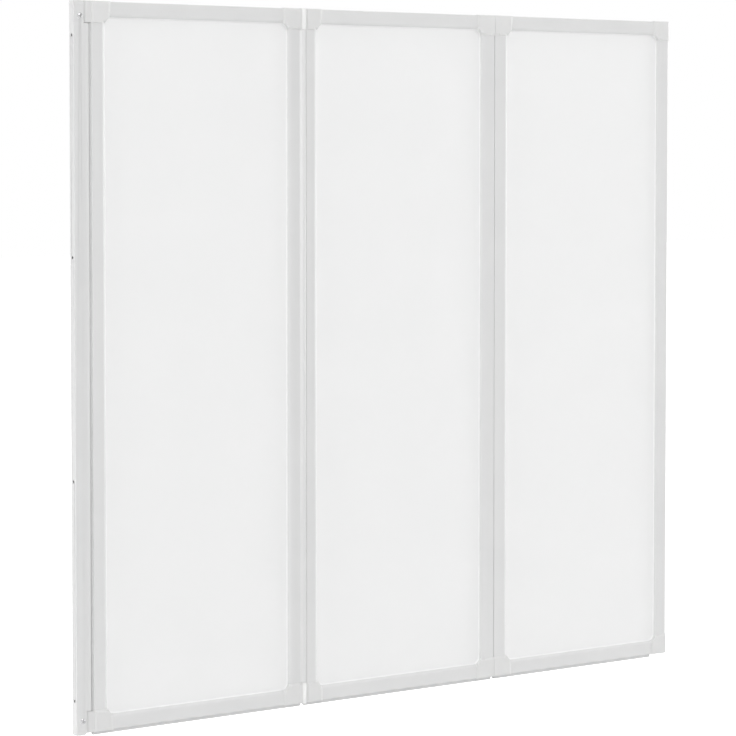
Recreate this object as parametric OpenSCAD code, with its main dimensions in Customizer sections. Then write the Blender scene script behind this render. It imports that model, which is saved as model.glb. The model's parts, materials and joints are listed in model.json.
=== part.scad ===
// Folding bath screen: three framed panels hinged to each other and to a wall channel.
// Frame: origin on the wall face of the channel at mid height, +X along the open screen
// away from the wall, -Y the face that is seen from the room, +Z up. Millimetres.

/* [Screen] */
// Height of the wall channel with its end caps
screen_h = 1213; // [900:1:1500]
// How far the panels end above the lower end of the channel
bottom_gap = 3; // [0:0.5:6]
// Width of the frame of the panel next to the wall
panel_1_w = 408; // [300:0.5:520]
// Width of the frame of the middle panel
panel_2_w = 406.5; // [300:0.5:520]
// Width of the frame of the outer panel
panel_3_w = 407.5; // [300:0.5:520]

/* [Frame profile] */
// Depth of the stiles and rails, front to back
frame_d = 16; // [15:0.5:20]
// Width of the flat face of a stile or rail
flat_w = 19; // [17:0.5:26]
// Width of the sloped lip between the flat face and the pane
lip_w = 6.5; // [5:0.5:9]
// How far the lip slopes back from the flat face
lip_drop = 4; // [3:0.25:4.5]
// Radius of the outer edges of a stile or rail
edge_r = 1.8; // [1:0.1:2.5]
// Wall of the extrusions
wall_t = 1.3; // [1:0.1:1.6]
// Depth of the glazing groove
groove_depth = 11; // [9:0.5:12]
// Width of the chamfer that faces the hinge barrel
relief_w = 3.6; // [3:0.1:6]
// Depth of the chamfer that faces the hinge barrel
relief_d = 2.9; // [2.5:0.1:5]

/* [Pane and gasket] */
// Thickness of the pane
pane_t = 3; // [2.5:0.25:3.5]
// Thickness of the gasket on each side of the pane
gasket_t = 1.1; // [0.9:0.1:1.3]
// Gap that the gasket fills between the edge of the pane and the groove floor
pane_gap = 1.5; // [1:0.5:3]
// How far the bead of the gasket reaches over the pane from the frame lip
gasket_show = 2; // [1:0.1:3]
// How far that bead rises over the groove, up the edge of the lip
bead_rise = 0.9; // [0.4:0.1:1.2]

/* [Corner pieces] */
// Side of a corner piece along the stile and along the rail
corner_size = 36; // [33:1:50]
// How far a corner piece stands proud of the frame faces
corner_rise = 1.6; // [1:0.1:2.5]
// How far a corner piece stands proud of the free outer edges
corner_proud = 0.5; // [0.25:0.25:2]
// Width of the bevel round the raised face
bevel_w = 4.5; // [3:0.25:5]
// Radius of the inner corner beside the pane
inner_r = 13; // [10:1:20]
// Length of the spigots that push into the stile and the rail
spigot_l = 25; // [15:1:40]
// Clearance between a spigot and the inside of the profile
spigot_gap = 0.15; // [0.1:0.05:0.3]
// Width of the slots that lighten a spigot
spigot_slot = 3; // [2:0.5:4]

/* [Panel hinges] */
// Radius of the hinge barrels between the panels
barrel_r = 4; // [3.5:0.1:5]
// Distance from the edge of a panel to the barrel axis it carries
barrel_reach = 3.7; // [3:0.1:4.5]
// Distance from the edge of a panel to where the ramp onto its barrel starts
barrel_ramp = 2.4; // [2:0.1:4]
// Gap between a barrel and the edge of the panel that turns on it
barrel_gap = 0.5; // [0.4:0.1:1.5]
// How far a corner piece rises over its face to meet the plug beside it
plug_fairing = 1.7; // [0.5:0.1:1.8]
// Gap between two open panels on the side away from the barrel
meet_gap = 0.4; // [0.4:0.1:2]
// Gap left between two corner pieces that are folded face to face
fold_gap = 0.8; // [0.6:0.1:3]
// Radius of the hinge pins between the panels
pin_r = 1.9; // [1.5:0.1:2.2]
// Radial running clearance of every hinge pin
pin_clearance = 0.06; // [0.04:0.01:0.09]
// How far a pin reaches past its plug or ear into the barrel
pin_reach = 22; // [12:1:40]
// Thickness of the washers under the barrels
washer_t = 1; // [0.8:0.1:2]
// Axial play between a washer and its barrel
axial_play = 0.3; // [0.3:0.1:1]
// Solid end left over a pin in its plug or ear
blind_end = 6; // [4:1:12]
// Thickness of the web that ties a hinge plug to its corner piece
plug_web_t = 3; // [2:0.25:3.5]
// Radius of the bead that locks a hinge plug in its corner piece
plug_bead_r = 2.2; // [1.8:0.1:2.4]
// Distance from the barrel axis to the bead of the plug
plug_bead_reach = 10.5; // [9.5:0.25:11]
// Clearance of a plug in its corner piece
plug_gap = 0.1; // [0.05:0.05:0.2]

/* [Wall channel and jamb] */
// Width of the channel, away from the wall
channel_w = 18.6; // [16:0.2:26]
// Wall of the channel flanges
channel_t = 1.2; // [1:0.1:1.5]
// Thickness of the channel base, which lies on the wall
channel_base_t = 1.5; // [1.2:0.1:3]
// Clearance of the jamb in the channel
jamb_gap = 0.2; // [0.1:0.05:0.4]
// Gap from the channel base to the jamb
jamb_set = 4; // [2.5:0.5:5]
// Radius of the round nose of the jamb
nose_r = 7.4; // [7:0.1:7.8]
// Distance from the wall to the axis of the nose
nose_x = 23.9; // [20.9:0.1:28]
// Distance from the nose axis to the edge of the first panel
nose_reach = 8.6; // [8.5:0.1:12]
// Radius of the ears on the first panel that continue the nose
ear_r = 6.8; // [6:0.1:6.8]
// Clearance round the ears as they turn
ear_gap = 0.4; // [0.3:0.1:1]
// Radius of the wall hinge pins
wall_pin_r = 3; // [2.5:0.1:3.5]
// Height of the channel end caps
cap_h = 8; // [6:0.5:14]
// Radius of the outer corner of an end cap
cap_r = 5; // [2:0.5:6]
// Length of the plug of an end cap
cap_plug_l = 10; // [6:1:12]
// Clearance of the end cap plug in the jamb
cap_gap = 0.2; // [0.1:0.05:0.5]

/* [Wall and locking screws] */
// Radius of the wall screw holes in the channel base
wall_hole_r = 2.5; // [2:0.1:3]
// Distance of the outer wall screws from the ends of the channel
wall_hole_end = 48.5; // [30:0.5:100]
// Distance of the inner wall screws from mid height
wall_hole_mid = 185; // [80:5:250]
// Distance of the upper locking screw from the top of the channel
lock_top = 25; // [20:1:32]
// Distance of the lower locking screw from the bottom of the channel
lock_bottom = 23; // [21:1:32]
// Distance of the locking screws from the wall
lock_x = 11.6; // [9:0.1:11.7]
// Radius of the locking screw shanks
lock_r = 1.9; // [1.5:0.1:2.2]
// Radius of the locking screw heads
lock_head_r = 5; // [3:0.1:5.5]
// Height of the locking screw heads
lock_head_h = 1.8; // [0.8:0.1:2.2]
// Width of the cross recess in the heads
lock_cross_w = 1.3; // [0.8:0.1:1.6]
// Length of the locking screws under the head
lock_l = 3.6; // [3:0.1:4]

/* [Bottom seal] */
// Height of the seal below the corner pieces
seal_h = 5.5; // [4:0.5:12]
// Width of the seal where it meets the frame
seal_top_w = 10; // [8:0.5:12]
// Width of the edge of the seal
seal_edge_w = 6; // [3:0.5:8]
// Width of the stem in the slot of the bottom rail
seal_stem_w = 2.6; // [2:0.1:4]
// Width of the head that holds the seal inside the bottom rail
seal_head_w = 6; // [5:0.5:8]
// Thickness of that head
seal_head_t = 1.5; // [1:0.1:2.5]
// Radius of the hollow in the seal
seal_hollow_r = 1.2; // [0.8:0.1:1.4]

/* [Hidden] */
$fn = 48;
SIDES = ["left", "right"];
LEVELS = ["bottom", "top"];
PARTS = ["left_stile", "right_stile", "bottom_rail", "top_rail", "pane", "gasket", "bottom_seal"];

cut = 1; // how far a cutting body runs past what it cuts
arc_steps = 6;

half_d = frame_d / 2;
sight_w = flat_w + lip_w; // width of the frame beside the pane
groove_w = pane_t + 2 * gasket_t;
groove_floor = sight_w - groove_depth;
lip_y = half_d - lip_drop; // half thickness at the edge of the lip
lip_turn = 2 * atan(lip_drop / lip_w); // angle through which the lip rounds over
lip_r = lip_w / sin(lip_turn);
pane_edge = groove_floor + pane_gap;
bead_root = 2; // how far the bead reaches back under a corner piece
bend = sight_w + inner_r; // from the outer edges to the centre of the inner corner

frame_top = screen_h / 2 - corner_proud;
frame_bottom = bottom_gap + corner_proud - screen_h / 2;
frame_h = frame_top - frame_bottom;

barrel_y = half_d + corner_rise + fold_gap / 2; // distance of a barrel axis from mid depth
barrel_next = barrel_r + barrel_gap; // from a barrel axis to the edge of the next panel
corner_inset = barrel_next - barrel_reach; // keeps a corner piece clear of the plug beside it
barrel_side_reach = barrel_reach - meet_gap / 2; // from the edges of two panels to where they meet
plug_side_reach = barrel_next - meet_gap / 2;

panel_ws = [panel_1_w, panel_2_w, panel_3_w];
panel_1_x = nose_x + nose_reach;
panel_xs = [
    panel_1_x,
    panel_1_x + panel_1_w + barrel_reach + barrel_next,
    panel_1_x + panel_1_w + panel_2_w + 2 * (barrel_reach + barrel_next)
];

channel_inner = half_d - channel_t; // half width inside the channel
jamb_half = channel_inner - jamb_gap;
jamb_front_x = nose_x - ear_r - ear_gap; // end of the jamb where the ears turn
channel_half_h = screen_h / 2 - cap_h;
nose_bottom = frame_bottom + corner_size;
nose_top = frame_top - corner_size;
ear_l = corner_size - washer_t - axial_play; // inner end of the ears and plugs
ear_web_back = nose_x - channel_w - ear_gap; // back of the ear web, clear of the flange at 90 degrees
ear_front = panel_1_x - channel_w - ear_gap; // from the edge of the panel to the flange
edge_bevel = bevel_w / 2;
meet_bevel = 0.5; // bevel where two corner pieces meet
fairing_run = 1.5; // how far a fairing runs for each unit that it rises
web_turn = 100; // angle on a barrel at which the back of its web meets it

FRAME = "gainsboro";
PLASTIC = "whitesmoke";
STEEL = "silver";
SOFT = "lightgray";

// ---- Frame profile ----

// Points on an arc of this radius about a centre, from one angle to another
function arc(centre, r, from, to) = [
    for (k = [0:arc_steps])
        let (t = from + (to - from) * k / arc_steps)
        centre + r * [cos(t), sin(t)]
];

// Front lip at this inset from the outside, from the flat face towards the pane
function lip(inset) =
    let (
        r = lip_r - inset,
        low = inset > 0 ? groove_w / 2 + inset : lip_y,
        turn = acos((low + lip_r - half_d) / r)
    )
    arc([flat_w, lip_r - half_d], r, -90, turn - 90);

// Turns a run of front points over to the back, in order
function to_back(points) = [
    for (k = [len(points) - 1:-1:0]) [points[k][0], -points[k][1]]
];

// The front outer corner of a section at this inset: rounded, or chamfered beside a hinge barrel
function front_corner(inset, chamfered) =
    let (
        k = 1 + inset * norm([1 / relief_w, 1 / relief_d]),
        r = max(edge_r - inset, 0.2)
    )
    chamfered
        ? [
            [inset, -half_d + relief_d * (k - inset / relief_w)],
            [relief_w * (k - inset / relief_d), -half_d + inset]
        ]
        : arc([inset + r, -half_d + inset + r], r, 180, 270);

// The back outer corner, reaching out in its back half to meet the next panel
function back_corner(inset, reach) = concat(
    to_back([for (p = front_corner(inset, false)) [p[0] - reach, p[1]]]),
    reach > 0 ? [[inset - reach, inset], [inset, inset]] : []
);

// reach is how far the back half stands out towards the next panel
module profile_outline(chamfered, reach) {
    front = concat(lip(0), [
        [sight_w, -groove_w / 2],
        [groove_floor, -groove_w / 2]
    ]);
    polygon(concat(front_corner(0, chamfered), front, to_back(front), back_corner(0, reach)));
}

module profile_chamber(chamfered, reach) {
    front = concat(lip(wall_t), [[groove_floor - wall_t, -groove_w / 2 - wall_t]]);
    polygon(concat(front_corner(wall_t, chamfered), front, to_back(front), back_corner(wall_t, reach)));
}

// Section of a spigot, a clearance inside the chamber
module spigot_section(chamfered) {
    inset = wall_t + spigot_gap;
    x_end = groove_floor - inset;
    difference() {
        polygon(concat(
            front_corner(inset, chamfered),
            [[x_end, -half_d + inset], [x_end, half_d - inset]],
            to_back(front_corner(inset, false))
        ));
        translate([x_end - spigot_slot, -spigot_slot / 2]) square([spigot_slot + cut, spigot_slot]);
    }
}

// Barrel and the web that carries it, with a ramp from the face that runs out along the barrel
module barrel_section() {
    axis = [-barrel_reach, -barrel_y];
    start = [barrel_ramp, -half_d];
    away = start - axis;
    turn = atan2(away[1], away[0]) - acos(barrel_r / norm(away));
    translate(axis) circle(r = barrel_r);
    polygon([
        start,
        [barrel_ramp, wall_t / 2 - half_d],
        [wall_t / 2, -half_d + barrel_r],
        [0, -half_d + barrel_r + barrel_gap],
        axis + barrel_r * [cos(web_turn), sin(web_turn)],
        axis,
        axis + barrel_r * [cos(turn), sin(turn)]
    ]);
}

// flip turns a section front to back
module flip_if(flip) {
    mirror([0, flip ? 1 : 0]) children();
}

// x runs inward from the outer edge, y through the depth
module stile_section(barrel, chamfered) {
    reach = barrel ? barrel_side_reach : chamfered ? plug_side_reach : 0;
    difference() {
        union() {
            profile_outline(chamfered, reach);
            if (barrel) barrel_section();
        }
        profile_chamber(chamfered, reach);
        if (barrel) translate([-barrel_reach, -barrel_y]) circle(r = pin_r + pin_clearance);
    }
}

// ---- Places ----

// Lower left outer corner of a panel, with x inward and z inward at every corner
module at_corner(i, side, level) {
    right = side == "right";
    top = level == "top";
    translate([panel_xs[i - 1] + (right ? panel_ws[i - 1] : 0), 0, top ? frame_top : frame_bottom])
        mirror([right ? 1 : 0, 0, 0])
            mirror([0, 0, top ? 1 : 0])
                children();
}

// A barrel is at the front on the right of panel 1, and at the back on the right of panel 2
module stile(i, side) {
    right = side == "right";
    barrel = right && i < 3;
    chamfered = !right && i > 1;
    at_back = right ? i == 2 : i == 3;
    color(FRAME)
        at_corner(i, side, "bottom")
            translate([0, 0, corner_size])
                linear_extrude(frame_h - 2 * corner_size)
                    flip_if(at_back) stile_section(barrel, chamfered);
}

// Turns an extruded section so that it runs along x, with the section's x as z
module along_x(length) {
    mirror([0, 0, 1]) rotate([0, 90, 0]) linear_extrude(length) children();
}

module rail(i, level) {
    length = panel_ws[i - 1] - 2 * corner_size;
    color(FRAME)
        at_corner(i, "left", level)
            translate([corner_size, 0, 0])
                along_x(length)
                    difference() {
                        stile_section(false, false);
                        if (level == "bottom")
                            translate([-cut, -seal_stem_w / 2])
                                square([wall_t + 2 * cut, seal_stem_w]);
                    }
}

// ---- Pane, gasket and seal ----

module plate(i, edge, thickness) {
    translate([edge, -thickness / 2, edge])
        cube([panel_ws[i - 1] - 2 * edge, thickness, frame_h - 2 * edge]);
}

module pane(i) {
    color("white", 0.8)
        at_corner(i, "left", "bottom")
            plate(i, pane_edge, pane_t);
}

// Bead from the edge of the lip down to the pane on both sides, x towards the pane
module bead_section() {
    for (way = [0, 1])
        mirror([0, way])
            polygon([
                [-bead_root, pane_t / 2],
                [-bead_root, groove_w / 2],
                [0, groove_w / 2],
                [0, groove_w / 2 + bead_rise],
                [gasket_show, pane_t / 2]
            ]);
}

// Bead round the inner corner of a corner piece
module corner_bead() {
    intersection() {
        translate([bend, 0, bend])
            rotate([90, 0, 0])
                rotate_extrude()
                    translate([inner_r, 0]) mirror([1, 0]) bead_section();
        translate([0, -half_d, 0]) cube([bend, frame_d, bend]);
    }
}

module gasket(i) {
    color(SOFT) {
        at_corner(i, "left", "bottom")
            difference() {
                plate(i, groove_floor, groove_w);
                plate(i, sight_w, groove_w + 2 * cut);
                plate(i, pane_edge, pane_t);
            }
        for (side = SIDES)
            at_corner(i, side, "bottom")
                translate([sight_w, 0, bend]) linear_extrude(frame_h - 2 * bend) bead_section();
        for (level = LEVELS) {
            at_corner(i, "left", level)
                translate([bend, 0, 0])
                    along_x(panel_ws[i - 1] - 2 * bend)
                        translate([sight_w, 0]) bead_section();
            for (side = SIDES) at_corner(i, side, level) corner_bead();
        }
    }
}

// Seal below the corner pieces; the outer panel's stops short of its free corner
module bottom_seal(i) {
    full = panel_ws[i - 1];
    inner = full - 2 * corner_size;
    stem_set = spigot_l + 2;
    low = -corner_proud - seal_h;
    color(SOFT)
        at_corner(i, "left", "bottom")
            difference() {
                union() {
                    along_x(i < 3 ? full : full - corner_size)
                        polygon([
                            [-corner_proud, -seal_top_w / 2],
                            [-corner_proud, seal_top_w / 2],
                            [low, seal_edge_w / 2],
                            [low, -seal_edge_w / 2]
                        ]);
                    translate([corner_size, 0, 0])
                        along_x(inner)
                            translate([-corner_proud, -seal_top_w / 2]) square([corner_proud, seal_top_w]);
                    translate([corner_size + stem_set, 0, 0])
                        along_x(inner - 2 * stem_set) {
                            translate([-corner_proud, -seal_stem_w / 2])
                                square([corner_proud + wall_t, seal_stem_w]);
                            translate([wall_t, -seal_head_w / 2]) square([seal_head_t, seal_head_w]);
                        }
                }
                translate([-cut, 0, 0])
                    along_x(full + 2 * cut)
                        translate([-corner_proud - seal_h / 2, 0]) circle(r = seal_hollow_r);
            }
}

// ---- Corner pieces ----

// Section across a corner piece from its outer edge, bevelled at both ends
module raised_section(start, bevel) {
    top = half_d + corner_rise;
    end = corner_size - bevel_w;
    shoulder = top - bevel * corner_rise / bevel_w;
    polygon([
        [start, shoulder],
        [start + bevel, top],
        [end, top],
        [corner_size, half_d],
        [corner_size, -half_d],
        [end, -top],
        [start + bevel, -top],
        [start, -shoulder]
    ]);
}

// Rounded inner corner, from the raised face down to the frame face and on to the lip
module inner_bevel() {
    mid_r = inner_r + lip_drop;
    face_r = mid_r + bevel_w;
    top = half_d + corner_rise;
    translate([bend, 0, bend])
        rotate([90, 0, 0])
            rotate_extrude()
                polygon([
                    [0, -top - cut],
                    [face_r, -top - cut],
                    [face_r, -top],
                    [mid_r, -half_d],
                    [inner_r, -lip_y],
                    [inner_r, lip_y],
                    [mid_r, half_d],
                    [face_r, top],
                    [face_r, top + cut],
                    [0, top + cut]
                ]);
}

// side_x is the outer side edge of the piece; its back half stands out by reach
module corner_plate(side_x, side_bevel, reach) {
    start = min(side_x, -reach);
    difference() {
        intersection() {
            translate([0, 0, -corner_proud])
                linear_extrude(corner_size + corner_proud) {
                    raised_section(side_x, side_bevel);
                    if (reach > 0)
                        intersection() {
                            raised_section(-reach, meet_bevel);
                            translate([-reach, 0]) square(corner_size);
                        }
                }
            translate([start, 0, 0])
                along_x(corner_size - start) raised_section(-corner_proud, edge_bevel);
        }
        inner_bevel();
    }
}

// Rise from the face of a corner piece towards the front of the hinge plug beside it
module fairing() {
    top = half_d + corner_rise;
    translate([0, 0, -corner_proud])
        linear_extrude(ear_l + corner_proud)
            polygon([
                [corner_inset, -half_d],
                [corner_inset, -top - plug_fairing],
                [corner_inset + fairing_run * plug_fairing, -top],
                [corner_inset + edge_bevel + plug_fairing, -half_d]
            ]);
}

module pane_pocket() {
    size = corner_size - groove_floor + cut;
    translate([groove_floor, -groove_w / 2, groove_floor]) cube([size, groove_w, size]);
}

// Removes the corner beside a hinge barrel, as the chamfer of the stile does
module relief_cutter() {
    slope = relief_w / relief_d;
    out = corner_rise + cut;
    translate([0, 0, -corner_proud - cut])
        linear_extrude(corner_size + corner_proud + 2 * cut)
            polygon([
                [-cut, -half_d + relief_d + cut / slope],
                [relief_w + out * slope, -half_d - out],
                [-cut, -half_d - out]
            ]);
}

// Section of the web and bead of a hinge plug, with the barrel axis at the origin
module plug_key(gap) {
    rotate(45) {
        translate([0, -plug_web_t / 2 - gap]) square([plug_bead_reach, plug_web_t + 2 * gap]);
        translate([plug_bead_reach, 0]) circle(r = plug_bead_r + gap);
    }
}

module plug_slot() {
    translate([-barrel_next, -barrel_y, -corner_proud])
        linear_extrude(corner_size + corner_proud) plug_key(plug_gap);
}

// Ear on the first panel: round in the channel, with a front that continues the nose of the jamb
module ear() {
    translate([0, 0, -corner_proud])
        linear_extrude(ear_l + corner_proud) {
            translate([-nose_reach, 0]) circle(r = ear_r);
            intersection() {
                union() {
                    translate([-nose_reach, 0]) circle(r = nose_r);
                    translate([-nose_reach, -nose_r]) square([nose_reach, nose_r]);
                }
                translate([-ear_front, -nose_r]) square([ear_front, nose_r]);
            }
            translate([-nose_reach, 0]) square([nose_reach, ear_web_back]);
        }
}

module ear_bore() {
    translate([-nose_reach, 0, blind_end]) cylinder(r = wall_pin_r, h = corner_size);
}

module corner_piece(i, level, side) {
    right = side == "right";
    jamb_side = !right && i == 1;
    plug_side = !right && i > 1;
    at_back = right ? i == 2 : i == 3;
    side_x = right ? (i == 3 ? -corner_proud : corner_inset) : 0;
    reach = plug_side ? plug_side_reach : right && i < 3 ? barrel_side_reach : 0;
    color(PLASTIC)
        at_corner(i, side, level) {
            difference() {
                union() {
                    flip_if(at_back) corner_plate(side_x, jamb_side ? bevel_w : edge_bevel, reach);
                    if (jamb_side) ear();
                    if (right && i < 3) flip_if(at_back) fairing();
                }
                pane_pocket();
                if (jamb_side) ear_bore();
                if (plug_side) flip_if(at_back) relief_cutter();
                if (plug_side) flip_if(at_back) plug_slot();
            }
            translate([0, 0, corner_size])
                linear_extrude(spigot_l) flip_if(at_back) spigot_section(plug_side);
            translate([corner_size, 0, 0])
                along_x(spigot_l) spigot_section(false);
        }
}

// ---- Hinge hardware ----

// Puts children on the barrel axis between panels i and i + 1, at one end
module at_hinge(i, level) {
    at_corner(i + 1, "left", level)
        flip_if(i == 2)
            translate([-barrel_next, -barrel_y, 0])
                children();
}

module at_wall_hinge(level) {
    at_corner(1, "left", level)
        translate([-nose_reach, 0, 0])
            children();
}

module hinge_plug(i, level) {
    color("white")
        at_hinge(i, level)
            difference() {
                translate([0, 0, -corner_proud])
                    linear_extrude(ear_l + corner_proud) {
                        circle(r = barrel_r);
                        plug_key(0);
                    }
                translate([0, 0, blind_end]) cylinder(r = pin_r, h = corner_size);
            }
}

module pin(radius) {
    translate([0, 0, blind_end]) cylinder(r = radius, h = corner_size - blind_end + pin_reach);
}

module washer(inner, outer) {
    translate([0, 0, ear_l])
        difference() {
            cylinder(r = outer, h = washer_t);
            translate([0, 0, -cut]) cylinder(r = inner, h = washer_t + 2 * cut);
        }
}

module hinge_pins(i) {
    color(STEEL)
        for (level = LEVELS)
            at_hinge(i, level) pin(pin_r);
}

module hinge_washers(i) {
    color("white")
        for (level = LEVELS)
            at_hinge(i, level) washer(pin_r, barrel_r);
}

module wall_hinge_pins() {
    color(STEEL)
        for (level = LEVELS)
            at_wall_hinge(level) pin(wall_pin_r);
}

module wall_hinge_washers() {
    color("white")
        for (level = LEVELS)
            at_wall_hinge(level) washer(wall_pin_r, ear_r);
}

// ---- Wall channel and jamb ----

module lock_screw_places() {
    for (z = [screen_h / 2 - lock_top, lock_bottom - screen_h / 2])
        translate([lock_x, -half_d, z])
            rotate([90, 0, 0])
                children();
}

module wall_channel() {
    color(FRAME)
        difference() {
            translate([0, 0, -channel_half_h])
                linear_extrude(2 * channel_half_h)
                    difference() {
                        translate([0, -half_d]) square([channel_w, frame_d]);
                        translate([channel_base_t, -channel_inner])
                            square([channel_w, 2 * channel_inner]);
                    }
            for (z = [channel_half_h - wall_hole_end, wall_hole_mid])
                for (way = [-1, 1])
                    translate([-cut, 0, way * z])
                        rotate([0, 90, 0])
                            cylinder(r = wall_hole_r, h = channel_base_t + 2 * cut);
            lock_screw_places()
                translate([0, 0, -channel_t - cut / 2]) cylinder(r = lock_r, h = channel_t + cut);
        }
}

// Legs that slide in the channel, open to the wall so that the wall screws have room
module jamb_legs() {
    difference() {
        translate([jamb_set, -jamb_half]) square([jamb_front_x - jamb_set, 2 * jamb_half]);
        translate([jamb_set - cut, wall_t - jamb_half])
            square([jamb_front_x - wall_t - jamb_set + cut, 2 * (jamb_half - wall_t)]);
    }
}

// Neck in the channel, shoulders past its flanges and the round nose
module nose_section(inset) {
    shoulder_x = channel_w + jamb_gap + inset;
    r = nose_r - inset;
    neck_half = jamb_half - inset;
    intersection() {
        union() {
            translate([nose_x, 0]) circle(r = r);
            translate([shoulder_x, -r]) square([nose_x - shoulder_x, 2 * r]);
        }
        translate([shoulder_x, -r]) square([2 * r + nose_x - shoulder_x, 2 * r]);
    }
    translate([jamb_front_x, -neck_half]) square([nose_x - jamb_front_x, 2 * neck_half]);
}

// Hollow nose with a central pin port on three webs
module jamb_nose() {
    port_r = wall_pin_r + pin_clearance;
    difference() {
        nose_section(0);
        difference() {
            nose_section(wall_t);
            translate([nose_x, 0]) circle(r = port_r + wall_t);
            for (turn = [60, 180, 300])
                translate([nose_x, 0])
                    rotate(turn)
                        translate([0, -wall_t / 2])
                            square([nose_r + cut, wall_t]);
        }
        translate([nose_x, 0]) circle(r = port_r);
    }
}

module wall_jamb() {
    color(FRAME)
        difference() {
            union() {
                translate([0, 0, -channel_half_h])
                    linear_extrude(2 * channel_half_h) jamb_legs();
                translate([0, 0, nose_bottom])
                    linear_extrude(nose_top - nose_bottom) jamb_nose();
            }
            lock_screw_places()
                translate([0, 0, -lock_l - cut]) cylinder(r = lock_r, h = lock_l + cut);
        }
}

module channel_cap(level) {
    plug_half = jamb_half - wall_t - cap_gap;
    color(PLASTIC)
        mirror([0, 0, level == "top" ? 1 : 0])
            translate([0, 0, -screen_h / 2])
                difference() {
                    union() {
                        rotate([90, 0, 0])
                            linear_extrude(frame_d, center = true)
                                difference() {
                                    square([channel_w, cap_h]);
                                    translate([channel_w - cap_r, 0])
                                        difference() {
                                            square([cap_r + cut, cap_r]);
                                            translate([0, cap_r]) circle(r = cap_r);
                                        }
                                }
                        translate([channel_base_t + cap_gap, -plug_half, cap_h])
                            cube([
                                jamb_front_x - wall_t - channel_base_t - 2 * cap_gap,
                                2 * plug_half,
                                cap_plug_l
                            ]);
                    }
                    translate([nose_x, 0, -cut]) cylinder(r = ear_r + ear_gap, h = cap_h + cut);
                }
}

// Domed head with a cross recess
module locking_screws() {
    dome_r = (lock_head_r * lock_head_r / lock_head_h + lock_head_h) / 2;
    color(STEEL)
        lock_screw_places()
            difference() {
                union() {
                    translate([0, 0, -lock_l]) cylinder(r = lock_r, h = lock_l);
                    rotate_extrude()
                        polygon(concat(
                            [[0, 0]],
                            arc([0, lock_head_h - dome_r], dome_r, acos(lock_head_r / dome_r), 90)
                        ));
                }
                for (turn = [0, 90])
                    rotate(turn)
                        translate([-lock_head_r / 2, -lock_cross_w / 2, lock_head_h / 4])
                            cube([lock_head_r, lock_cross_w, lock_head_h]);
            }
}

wall_channel();
wall_jamb();
locking_screws();
wall_hinge_pins();
wall_hinge_washers();
for (level = LEVELS) {
    channel_cap(level);
}
for (i = [1:3]) {
    stile(i, "left");
    stile(i, "right");
    rail(i, "bottom");
    rail(i, "top");
    pane(i);
    gasket(i);
    bottom_seal(i);
    for (level = LEVELS) {
        for (side = SIDES) {
            corner_piece(i, level, side);
        }
    }
}
for (i = [1:2]) {
    hinge_pins(i);
    hinge_washers(i);
    for (level = LEVELS) {
        hinge_plug(i, level);
    }
}
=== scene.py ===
"""Folding bath screen on a plain pale floor, seen from the room side at the wall end."""

import json
import math

import bmesh
import bpy
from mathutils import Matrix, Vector


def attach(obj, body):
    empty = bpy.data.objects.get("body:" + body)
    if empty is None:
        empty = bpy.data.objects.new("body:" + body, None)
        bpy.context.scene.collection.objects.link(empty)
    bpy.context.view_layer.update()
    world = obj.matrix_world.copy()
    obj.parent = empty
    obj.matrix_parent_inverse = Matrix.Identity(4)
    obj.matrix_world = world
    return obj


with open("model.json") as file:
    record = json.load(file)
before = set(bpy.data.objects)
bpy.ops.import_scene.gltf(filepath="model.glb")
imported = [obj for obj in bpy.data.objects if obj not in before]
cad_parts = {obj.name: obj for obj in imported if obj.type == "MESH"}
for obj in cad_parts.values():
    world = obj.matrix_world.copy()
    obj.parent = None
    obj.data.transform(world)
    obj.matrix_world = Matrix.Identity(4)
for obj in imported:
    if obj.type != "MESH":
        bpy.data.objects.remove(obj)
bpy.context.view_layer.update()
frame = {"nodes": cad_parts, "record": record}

scene = bpy.context.scene
nodes = frame["nodes"]
slots = {part["node"]: part["material_slot"] for part in frame["record"]["subparts"]}
joint_places = {j["name"]: j["pos_m"] for j in frame["record"]["behaviour"]["joints"]}

# ---------------------------------------------------------------- materials

# Darkest and lightest colour of each material
TONES = {
    "frame_paint": ((0.71, 0.712, 0.712), (0.735, 0.736, 0.734)),
    "fitting_plastic": ((0.715, 0.716, 0.713), (0.74, 0.74, 0.736)),
    "hinge_nylon": ((0.84, 0.84, 0.835), (0.88, 0.88, 0.875)),
    # The steel tone is set darker than plated steel, to paint the dark reflection on the screw
    # heads
    "screw_steel": ((0.38, 0.38, 0.38), (0.50, 0.50, 0.51)),
    "pane": ((0.946, 0.948, 0.947), (0.963, 0.964, 0.963)),
    "seal_pvc": ((0.90, 0.902, 0.902), (0.94, 0.941, 0.94)),
    # Greyer seal: its darker tone paints the shade under the rails and in the groove at the wall
    "painted_shade_seal_pvc": ((0.60, 0.602, 0.602), (0.66, 0.661, 0.66)),
}
# Colour along the worn edges
WORN = {
    "frame_paint": (0.70, 0.702, 0.702),
    "fitting_plastic": (0.705, 0.705, 0.702),
}
# Roughness at the low and at the high end of the pattern that drives it
ROUGHNESS = {
    "frame_paint": (0.27, 0.37),
    "fitting_plastic": (0.42, 0.56),
    "hinge_nylon": (0.30, 0.42),
    "screw_steel": (0.22, 0.40),
    "pane": (0.46, 0.60),
    "seal_pvc": (0.5, 0.38),
    "painted_shade_seal_pvc": (0.5, 0.38),
}
# Part of a noise pattern that is spread over the whole range, and the same for edge wear
NOISE_MIDDLE = (0.3, 0.7)
WEAR_MIDDLE = (0.80, 0.97)


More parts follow.
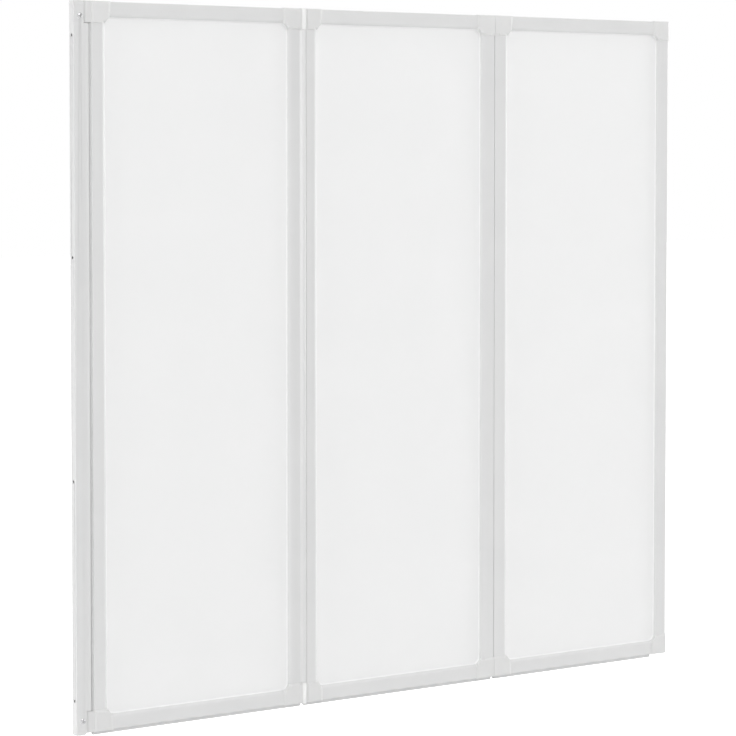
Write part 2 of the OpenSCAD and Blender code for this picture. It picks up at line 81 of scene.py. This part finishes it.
class Shader:
    """A node material built call by call."""

    def __init__(self, name):
        self.name = name
        self.material = bpy.data.materials.new(name)
        self.material.use_nodes = True
        self.tree = self.material.node_tree
        self.bsdf = self.tree.nodes["Principled BSDF"]
        self.coords = self.tree.nodes.new("ShaderNodeTexCoord").outputs["Object"]

    def set(self, **sockets):
        for key, value in sockets.items():
            self.bsdf.inputs[key.replace("_", " ")].default_value = value

    def link(self, out, socket):
        self.tree.links.new(out, self.bsdf.inputs[socket])

    def stretched(self, scale):
        node = self.tree.nodes.new("ShaderNodeMapping")
        node.inputs["Scale"].default_value = scale
        self.tree.links.new(self.coords, node.inputs["Vector"])
        return node.outputs["Vector"]

    def noise(self, scale, detail=2.0, roughness=0.5, vector=None):
        node = self.tree.nodes.new("ShaderNodeTexNoise")
        node.inputs["Scale"].default_value = scale
        node.inputs["Detail"].default_value = detail
        node.inputs["Roughness"].default_value = roughness
        self.tree.links.new(vector or self.coords, node.inputs["Vector"])
        return node.outputs["Fac"]

    def span(self, fac, low, high, middle=NOISE_MIDDLE):
        node = self.tree.nodes.new("ShaderNodeMapRange")
        node.inputs["From Min"].default_value = middle[0]
        node.inputs["From Max"].default_value = middle[1]
        node.inputs["To Min"].default_value = low
        node.inputs["To Max"].default_value = high
        self.tree.links.new(fac, node.inputs["Value"])
        return node.outputs["Result"]

    def mix(self, fac, dark, light):
        node = self.tree.nodes.new("ShaderNodeMix")
        node.data_type = "RGBA"
        self.tree.links.new(fac, node.inputs["Factor"])
        for socket, value in ((node.inputs["A"], dark), (node.inputs["B"], light)):
            if isinstance(value, tuple):
                socket.default_value = (*value, 1.0)
            else:
                self.tree.links.new(value, socket)
        return node.outputs["Result"]

    def tone(self, fac):
        """Colour of the material, varied by a pattern."""
        return self.mix(self.span(fac, 0, 1), *TONES[self.name])

    def worn(self, tone, radius):
        """The colour with its sharp edges worn."""
        bevel = self.tree.nodes.new("ShaderNodeBevel")
        bevel.inputs["Radius"].default_value = radius
        geometry = self.tree.nodes.new("ShaderNodeNewGeometry")
        dot = self.tree.nodes.new("ShaderNodeVectorMath")
        dot.operation = "DOT_PRODUCT"
        self.tree.links.new(bevel.outputs["Normal"], dot.inputs[0])
        self.tree.links.new(geometry.outputs["Normal"], dot.inputs[1])
        flat = self.span(dot.outputs["Value"], 0, 1, WEAR_MIDDLE)
        return self.mix(flat, WORN[self.name], tone)

    def surface(self, tone, rough):
        """Links the colour, and the pattern that drives the roughness."""
        self.link(tone, "Base Color")
        self.link(self.span(rough, *ROUGHNESS[self.name]), "Roughness")

    def bump(self, *layers):
        """Chains (height, strength, distance in metres) into the normal."""
        normal = None
        for height, strength, distance in layers:
            node = self.tree.nodes.new("ShaderNodeBump")
            node.inputs["Strength"].default_value = strength
            node.inputs["Distance"].default_value = distance
            self.tree.links.new(height, node.inputs["Height"])
            if normal:
                self.tree.links.new(normal, node.inputs["Normal"])
            normal = node.outputs["Normal"]
        self.link(normal, "Normal")


def paint():
    """Satin powder coat on an extrusion: orange peel, faint draw lines, thin worn edges."""
    s = Shader("frame_paint")
    lines = s.noise(1.0, detail=1.0, vector=s.stretched((900, 900, 6)))
    peel = s.noise(900)
    cloud = s.noise(9, detail=3.0, roughness=0.6)
    s.surface(s.worn(s.tone(cloud), radius=0.0006), peel)
    s.bump((peel, 0.10, 0.0002), (lines, 0.03, 0.0002))
    s.set(IOR=1.5)
    return s.material


def moulded():
    """Fine spark-eroded grain of a moulded corner piece."""
    s = Shader("fitting_plastic")
    grain = s.noise(2600, roughness=0.6)
    flow = s.noise(28, detail=3.0, roughness=0.55)
    s.surface(s.worn(s.tone(flow), radius=0.0008), grain)
    s.bump((grain, 0.14, 0.00012), (flow, 0.05, 0.0006))
    s.set(IOR=1.49)
    return s.material


def nylon():
    """Slightly waxy moulding of the hinge plugs and washers."""
    s = Shader("hinge_nylon")
    grain = s.noise(1800)
    s.surface(s.tone(s.noise(40)), grain)
    s.bump((grain, 0.08, 0.0001))
    s.set(IOR=1.53)
    return s.material


def steel():
    """Zinc plated screws and pins with a fine spangle and a faint bloom."""
    s = Shader("screw_steel")
    spangle = s.noise(1400, detail=3.0, roughness=0.6)
    s.surface(s.tone(s.noise(220)), spangle)
    s.bump((spangle, 0.15, 0.0001))
    s.set(Metallic=1.0)
    return s.material


def sheet():
    """Translucent frosted sheet: fine etched grain over a slow waviness."""
    s = Shader("pane")
    grain = s.noise(1500, detail=3.0, roughness=0.6)
    wave = s.noise(11)
    s.surface(s.tone(wave), grain)
    s.bump((grain, 0.10, 0.00012), (wave, 0.04, 0.002))
    s.set(IOR=1.49, Transmission_Weight=0.10, Specular_IOR_Level=0.35)
    return s.material


def pvc(name):
    """Soft extruded seal, dulled by handling."""
    s = Shader(name)
    lines = s.noise(1.0, detail=1.0, vector=s.stretched((8, 1400, 1400)))
    dust = s.noise(60, detail=4.0, roughness=0.65)
    s.surface(s.tone(dust), dust)
    s.bump((lines, 0.08, 0.0002))
    s.set(IOR=1.5)
    return s.material


materials = {
    "frame_paint": paint(),
    "fitting_plastic": moulded(),
    "hinge_nylon": nylon(),
    "screw_steel": steel(),
    "pane": sheet(),
    "seal_pvc": pvc("seal_pvc"),
}
# The seals under the panels and at the wall get a greyer seal material than the gaskets: its
# darker tone paints the shade under the rails and in the groove beside the jamb's nose
painted_shade_seal = pvc("painted_shade_seal_pvc")

# ---------------------------------------------------------------- CAD nodes

# Width of the softened edges of each material, in metres
EDGES = {
    "frame_paint": 0.00030,
    "fitting_plastic": 0.00055,
    "hinge_nylon": 0.00030,
    "screw_steel": 0.00012,
    "pane": 0.0,
    "seal_pvc": 0.00040,
}
WELD_DISTANCE = 1e-6
SHARP_ANGLE = math.radians(28)  # edges that turn more than this are softened


def soften(obj, width):
    weld = obj.modifiers.new("weld", "WELD")
    weld.merge_threshold = WELD_DISTANCE
    if width:
        bevel = obj.modifiers.new("bevel", "BEVEL")
        bevel.width = width
        bevel.segments = 2
        bevel.limit_method = "ANGLE"
        bevel.angle_limit = SHARP_ANGLE
        bevel.harden_normals = True
        bevel.use_clamp_overlap = True


for name, obj in nodes.items():
    slot = slots[name]
    obj.data.materials.clear()
    # The bottom seals take the darker seal material, which paints the shade under the rails
    obj.data.materials.append(painted_shade_seal if name.endswith("_bottom_seal") else materials[slot])
    soften(obj, EDGES[slot])

# ---------------------------------------------------------------- trim

HALF_DEPTH = 0.008  # half the depth of stiles and rails
EDGE_R = 0.0018  # rounding of their outer corners
SIGHT_W = 0.0255  # width of the frame in sight
LIP_DROP = 0.004  # from the face of the frame down to the edge of the lip
INNER_R = 0.013  # round inner corners of the frame
PANE_HALF = 0.0015  # half the thickness of a pane
PANE_HIDDEN = 0.0095  # how far a pane reaches in behind the lips
CORNER_SIZE = 0.036  # side of the raised square of a corner piece
CORNER_RISE = 0.0016  # how far the corner pieces stand proud of the frame
CORNER_BEVEL = 0.0045  # width of the bevel round the corner pieces
MID_R = INNER_R + LIP_DROP  # where the slope of a round inner corner ends at the frame's face
FACE_R = MID_R + CORNER_BEVEL  # where it ends at the raised face
SQUARE_SHORT = SIGHT_W + INNER_R - CORNER_SIZE  # from the raised square to the rounding's centre
SUNK = 0.0003  # how deep the trim is set into what carries it
TRIM_SOFT = 0.0002  # width of the softened edges of the wall hinge seal and the steps
SMOOTH_ANGLE = math.radians(35)  # faces of the trim that turn less than this shade as one

SEAL_CLEAR = 0.00035  # from the wall hinge seal to the nose of the jamb
SEAL_ARC = (-44, -10)  # the stretch of the nose that the seal follows, in degrees
SEAL_ARC_STEPS = 12
SEAL_PAST = 0.0012  # how far the seal runs on past the stile, beside the washers

LINING_STEPS = 28
LINING_RAMP = 5  # both ends of a lining rise to full height over one part in this many
LINING_OVER = 0.00003  # how far a lining lies over the surface that it covers
LINING_EDGE_R = 0.0007  # rounding of its inner edge
LINING_EDGE_STEPS = 4
LINING_TOP_STEPS = 6
FOOT_OFF = 0.0001  # from the foot of a lining to the pane, and at its ends to the lip's edge
LIP_FOOT = HALF_DEPTH - LIP_DROP - FOOT_OFF
PANE_FOOT = PANE_HALF + FOOT_OFF

STEP_PARTS = 37
STEP_START = 0.003  # from the outer side edge of the panel to the start of a step
STEP_RAMP = 0.003  # width over which a step rises to its full height
STEP_LEAST = 0.03  # height at the ends of a step, as a part of the full height
STEP_OVER = 0.00002  # how far a step lies over the surface that it covers
STEP_FOOT = 0.00005  # from the lower end of the corner piece to the foot of a step
STEP_LAP = 0.0003  # how far a step goes on past the top of the bevel
STEP_END_T = 0.00035  # thickness of a step where it ends on the raised face


def box(name):
    """Corners of a node's box, nearest to and farthest from minus infinity."""
    obj = nodes[name]
    points = [obj.matrix_world @ Vector(corner) for corner in obj.bound_box]
    return [Vector(pick(p[k] for p in points) for k in range(3)) for pick in (min, max)]


def mesh_object(name, points, faces, slot, body):
    """Piece that rides on a body, with its faces turned outwards."""
    mesh = bpy.data.meshes.new(name)
    mesh.from_pydata([tuple(p) for p in points], [], faces)
    build = bmesh.new()
    build.from_mesh(mesh)
    bmesh.ops.recalc_face_normals(build, faces=build.faces)
    build.to_mesh(mesh)
    build.free()
    mesh.materials.append(materials[slot])
    mesh.update()
    obj = bpy.data.objects.new(name, mesh)
    scene.collection.objects.link(obj)
    for polygon in mesh.polygons:
        polygon.use_smooth = True
    mesh.set_sharp_from_angle(angle=SMOOTH_ANGLE)
    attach(obj, body)
    return obj


def grid_solid(name, rings, slot, body):
    """Closed solid through rings of points of equal length, with flat ends."""
    count = len(rings[0])
    points = [p for ring in rings for p in ring]
    faces = []
    for i in range(len(rings) - 1):
        for k in range(count):
            a, b = i * count + k, i * count + (k + 1) % count
            faces.append((a, b, b + count, a + count))
    faces.append(tuple(reversed(range(count))))
    faces.append(tuple(range(len(points) - count, len(points))))
    return mesh_object(name, points, faces, slot, body)


def wall_hinge_seal():
    """Soft strip on the first stile that closes the groove beside the round nose of the jamb."""
    axis = Vector(joint_places["wall_hinge"])
    nose_r = -box("wall_jamb")[0].y
    low, high = box("panel_1_left_stile")
    r = nose_r + SEAL_CLEAR
    root_x = low.x + SUNK
    first, last = SEAL_ARC
    outline = [(root_x, EDGE_R - HALF_DEPTH)]
    for k in range(SEAL_ARC_STEPS + 1):
        t = math.radians(first + (last - first) * k / SEAL_ARC_STEPS)
        outline.append((axis.x + r * math.cos(t), axis.y + r * math.sin(t)))
    outline.append((root_x, outline[-1][1]))
    ends = (low.z - SEAL_PAST, high.z + SEAL_PAST)
    rings = [[(x, y, z) for x, y in outline] for z in ends]
    seal = grid_solid("wall_hinge_seal", rings, "seal_pvc", "panel_1")
    # The darker seal material paints the shade in the groove beside the nose
    seal.data.materials[0] = painted_shade_seal
    soften(seal, TRIM_SOFT)


def inner_corner(panel, level, side):
    """Corner of the frame's opening as it would be without rounding, and the ways inwards."""
    pane_low, pane_high = box(f"panel_{panel}_pane")
    inwards_x = 1 if side == "left" else -1
    inwards_z = 1 if level == "bottom" else -1
    pane_x = pane_low.x if side == "left" else pane_high.x
    pane_z = pane_low.z if level == "bottom" else pane_high.z
    sight_x = pane_x + inwards_x * PANE_HIDDEN
    sight_z = pane_z + inwards_z * PANE_HIDDEN
    return sight_x, sight_z, inwards_x, inwards_z


def lining_height(r, t, ramp):
    """Height of a lining over mid depth, at a distance and an angle from the corner's centre."""
    lip = HALF_DEPTH - LIP_DROP + min(r - INNER_R, LIP_DROP)
    lip += CORNER_RISE * max(0.0, r - MID_R) / CORNER_BEVEL
    beside = min(r * math.cos(t) - SQUARE_SHORT, r * math.sin(t) - SQUARE_SHORT, CORNER_BEVEL)
    plate = HALF_DEPTH + CORNER_RISE * beside / CORNER_BEVEL
    return lip + max(0.0, plate - lip) * ramp + LINING_OVER


def lining_profile(t, ramp):
    """Outline of a lining at an angle, as distances from the corner's centre and heights."""
    foot = LIP_FOOT + (PANE_FOOT - LIP_FOOT) * ramp
    edge_r = INNER_R + LINING_EDGE_R
    edge_top = lining_height(edge_r, t, ramp)
    profile = [(INNER_R, foot)]
    for k in range(LINING_EDGE_STEPS + 1):
        a = math.radians(90 * k / LINING_EDGE_STEPS)
        height = edge_top - LINING_EDGE_R * (1 - math.sin(a)) * ramp
        profile.append((INNER_R + LINING_EDGE_R * (1 - math.cos(a)), height))
    for k in range(1, LINING_TOP_STEPS + 1):
        r = edge_r + (FACE_R - INNER_R - LINING_EDGE_R) * k / LINING_TOP_STEPS
        profile.append((r, lining_height(r, t, ramp)))
    profile.append((FACE_R, HALF_DEPTH + CORNER_RISE - SUNK))
    profile.append((MID_R, HALF_DEPTH - SUNK))
    profile.append((INNER_R + SUNK, foot))
    return profile


def corner_lining(panel, level, side):
    """Upright inner wall of a corner piece, from the pane up to its raised face."""
    sight_x, sight_z, inwards_x, inwards_z = inner_corner(panel, level, side)
    centre_x = sight_x + inwards_x * INNER_R
    centre_z = sight_z + inwards_z * INNER_R
    first = math.asin(SQUARE_SHORT / INNER_R)
    last = math.pi / 2 - first
    rings = []
    for i in range(LINING_STEPS + 1):
        t = first + (last - first) * i / LINING_STEPS
        ramp = min(1.0, LINING_RAMP * min(i, LINING_STEPS - i) / LINING_STEPS)
        ramp = ramp * ramp * (3 - 2 * ramp)
        ring = []
        for r, height in lining_profile(t, ramp):
            x = centre_x - inwards_x * r * math.cos(t)
            z = centre_z - inwards_z * r * math.sin(t)
            ring.append((x, -height, z))
        rings.append(ring)
    name = f"panel_{panel}_lining_{level}_{side}"
    grid_solid(name, rings, "fitting_plastic", f"panel_{panel}")


def corner_step(panel, side):
    """Steep lower end of the raised face of an upper corner piece, over the stile."""
    sight_x, sight_z, inwards_x, _ = inner_corner(panel, "top", side)
    outer_x = sight_x - inwards_x * SIGHT_W
    end_z = sight_z + SIGHT_W - CORNER_SIZE
    stop = SIGHT_W - LIP_DROP
    rings = []
    for i in range(STEP_PARTS + 1):
        u = STEP_START + (stop - STEP_START) * i / STEP_PARTS
        part = min(1.0, (u - STEP_START) / STEP_RAMP, (stop - u) / CORNER_BEVEL)
        rise = CORNER_RISE * max(part, STEP_LEAST)
        face = HALF_DEPTH + rise + STEP_OVER
        end = CORNER_BEVEL * rise / CORNER_RISE + STEP_LAP
        profile = [
            (STEP_FOOT, HALF_DEPTH - SUNK),
            (STEP_FOOT, HALF_DEPTH + STEP_OVER),
            (rise, face),
            (end, face),
            (end, face - STEP_END_T),
        ]
        rings.append([(outer_x + inwards_x * u, -y, end_z + d) for d, y in profile])
    step = grid_solid(f"panel_{panel}_step_{side}", rings, "fitting_plastic", f"panel_{panel}")
    soften(step, TRIM_SOFT)


wall_hinge_seal()
for panel in (1, 2, 3):
    for level in ("top", "bottom"):
        for side in ("left", "right"):
            corner_lining(panel, level, side)
    corner_step(panel, "left")
    corner_step(panel, "right")

# ---------------------------------------------------------------- stage

FLOOR_Z = -1.15
FLOOR_HALF = 30.0
FLOOR_COLOUR = (0.82, 0.82, 0.82)
FLOOR_SHOWN = 0.62  # whiteness that the floor shows on top of what the lamps give it
SEEN_RAYS = ("Is Camera Ray", "Is Glossy Ray", "Is Transmission Ray")


def math_node(tree, operation, first, second):
    node = tree.nodes.new("ShaderNodeMath")
    node.operation = operation
    for socket, value in zip(node.inputs, (first, second)):
        if isinstance(value, float):
            socket.default_value = value
        else:
            tree.links.new(value, socket)
    return node.outputs[0]


def seen_directly(tree):
    """1 for what the camera sees, straight or in reflections and through the panes, else 0."""
    path = tree.nodes.new("ShaderNodeLightPath")
    seen, *others = (path.outputs[ray] for ray in SEEN_RAYS)
    for ray in others:
        seen = math_node(tree, "MAXIMUM", seen, ray)
    return seen


def stage_material(name, colour, shown):
    """Diffuse, with some of its whiteness shown straight to the camera, so that shadows stay."""
    material = bpy.data.materials.new(name)
    material.use_nodes = True
    tree = material.node_tree
    tree.nodes.clear()
    out = tree.nodes.new("ShaderNodeOutputMaterial")
    diffuse = tree.nodes.new("ShaderNodeBsdfDiffuse")
    diffuse.inputs["Color"].default_value = (*colour, 1.0)
    glow = tree.nodes.new("ShaderNodeEmission")
    level = math_node(tree, "MULTIPLY", seen_directly(tree), shown)
    tree.links.new(level, glow.inputs["Strength"])
    add = tree.nodes.new("ShaderNodeAddShader")
    tree.links.new(diffuse.outputs[0], add.inputs[0])
    tree.links.new(glow.outputs[0], add.inputs[1])
    tree.links.new(add.outputs[0], out.inputs["Surface"])
    return material


floor_mesh = bpy.data.meshes.new("floor")
floor_corners = ((-1, -1), (1, -1), (1, 1), (-1, 1))
floor_points = [(x * FLOOR_HALF, y * FLOOR_HALF, FLOOR_Z) for x, y in floor_corners]
floor_mesh.from_pydata(floor_points, [], [(0, 1, 2, 3)])
floor = bpy.data.objects.new("floor", floor_mesh)
scene.collection.objects.link(floor)
floor_mesh.materials.append(stage_material("floor", FLOOR_COLOUR, FLOOR_SHOWN))

# ---------------------------------------------------------------- light

CENTRE = (0.635, 0.0, 0.0)  # the lamps face this point
SKY_ABOVE = 1.03  # strength of the sky straight overhead
# Name, place, width in metres and power in watts of each lamp
LAMPS = (
    ("left", (-6.0, -0.1, 0.6), 2.5, 144),
    ("right", (7.27, -0.9, 0.3), 2.5, 120),
    ("front", (0.6, -7.0, 6.0), 4.0, 278),
    ("back", (0.6, 7.0, 6.0), 4.0, 240),
    ("top", (0.635, -0.9, 6.6), 2.5, 28),
)


def world_light(above):
    """A sky that is brightest overhead, and plain white to the camera and in reflections."""
    world = bpy.data.worlds.new("studio")
    world.use_nodes = True
    scene.world = world
    tree = world.node_tree
    coords = tree.nodes.new("ShaderNodeTexCoord")
    split = tree.nodes.new("ShaderNodeSeparateXYZ")
    tree.links.new(coords.outputs["Generated"], split.inputs[0])
    high = math_node(tree, "MAXIMUM", split.outputs["Z"], 0.0)
    level = math_node(tree, "MULTIPLY", high, above)
    strength = tree.nodes.new("ShaderNodeMix")
    tree.links.new(seen_directly(tree), strength.inputs["Factor"])
    tree.links.new(level, strength.inputs["A"])
    strength.inputs["B"].default_value = 1.0
    background = tree.nodes["Background"]
    background.inputs["Color"].default_value = (1.0, 1.0, 1.0, 1.0)
    tree.links.new(strength.outputs["Result"], background.inputs["Strength"])


def lamp(name, place, size, power):
    data = bpy.data.lights.new(name, "AREA")
    data.shape = "SQUARE"
    data.size = size
    data.energy = power
    obj = bpy.data.objects.new(name, data)
    obj.location = place
    obj.rotation_mode = "QUATERNION"
    obj.rotation_quaternion = (Vector(CENTRE) - Vector(place)).to_track_quat("-Z", "Y")
    scene.collection.objects.link(obj)


world_light(SKY_ABOVE)
for values in LAMPS:
    lamp(*values)

# ---------------------------------------------------------------- camera

CAMERA_PLACE = (-2.0079, -3.8376, 0.3577)
CAMERA_YAW = 34.055  # degrees from +Y towards +X
CAMERA_PITCH = -2.456  # degrees from level, below it where negative
CAMERA_LENS = 128.250  # millimetres, like the width of the sensor
CAMERA_SENSOR = 36.0
CAMERA_SHIFT = -0.14  # as a part of the picture's width

camera_data = bpy.data.cameras.new("camera")
camera_data.lens = CAMERA_LENS
camera_data.sensor_width = CAMERA_SENSOR
camera_data.shift_y = CAMERA_SHIFT
camera = bpy.data.objects.new("camera", camera_data)
camera.location = CAMERA_PLACE
camera.rotation_euler = (math.radians(90 + CAMERA_PITCH), 0.0, -math.radians(CAMERA_YAW))
scene.collection.objects.link(camera)
scene.camera = camera

scene.view_settings.view_transform = "Standard"
